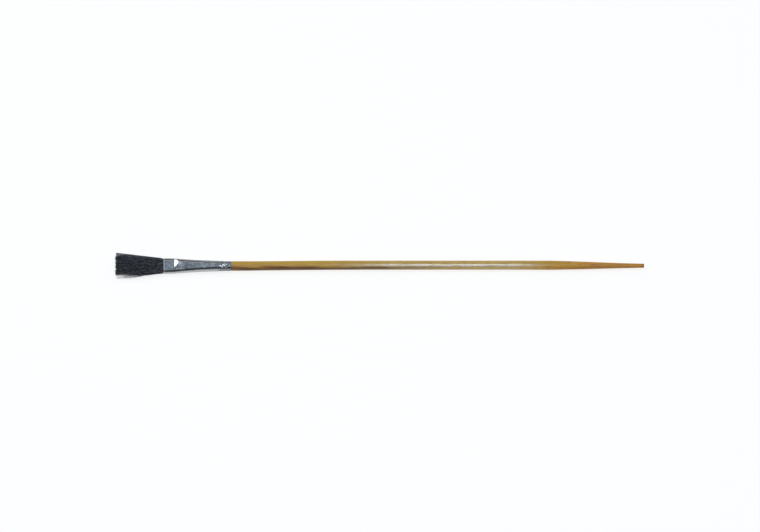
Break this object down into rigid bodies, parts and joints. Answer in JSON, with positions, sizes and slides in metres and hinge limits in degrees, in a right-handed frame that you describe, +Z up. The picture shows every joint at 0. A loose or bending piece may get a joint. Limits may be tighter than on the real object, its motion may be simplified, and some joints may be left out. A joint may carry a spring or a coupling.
{
  "type": "long-handled flat brush",
  "caption": "Slim flat brush with a long tapered wooden handle, a crimped tinplate ferrule and a short flared tuft of black bristles that bends and springs back.",
  "frame": {"origin": "under the middle of the bounding box, on the surface that the brush lies on", "axes": "+X along the handle towards its tail, with the bristle tips at -X; +Z up, square to the brush's flat"},
  "size_m": [0.3256, 0.0163, 0.006],
  "materials": {
    "lacquered_wood": "clear gloss lacquer",
    "tinplate": "bright tinplate",
    "bristle": "satin black",
    "thread": "cotton",
    "resin": "cured resin"
  },
  "bodies": {
    "handle_and_ferrule": {"handle": "lacquered_wood", "ferrule": "tinplate", "bristle_butts": "bristle", "binding_thread": "thread", "setting_resin": "resin"},
    "tuft": {"bristle_lock_1": "bristle", "bristle_lock_2": "bristle", "bristle_lock_3": "bristle", "bristle_lock_4": "bristle", "bristle_lock_5": "bristle", "bristle_lock_6": "bristle", "bristle_lock_7": "bristle", "bristle_lock_8": "bristle", "bristle_lock_9": "bristle", "stray_bristles": "bristle"}
  },
  "joints": [
    {"name": "bristle_flex", "type": "hinge", "parent": "handle_and_ferrule", "child": "tuft", "pos_m": [-0.135, 0, 0.00298], "axis": [0, 1, 0], "range_deg": [-40, 40], "stiffness_Nm_per_rad": 0.03}
  ]
}
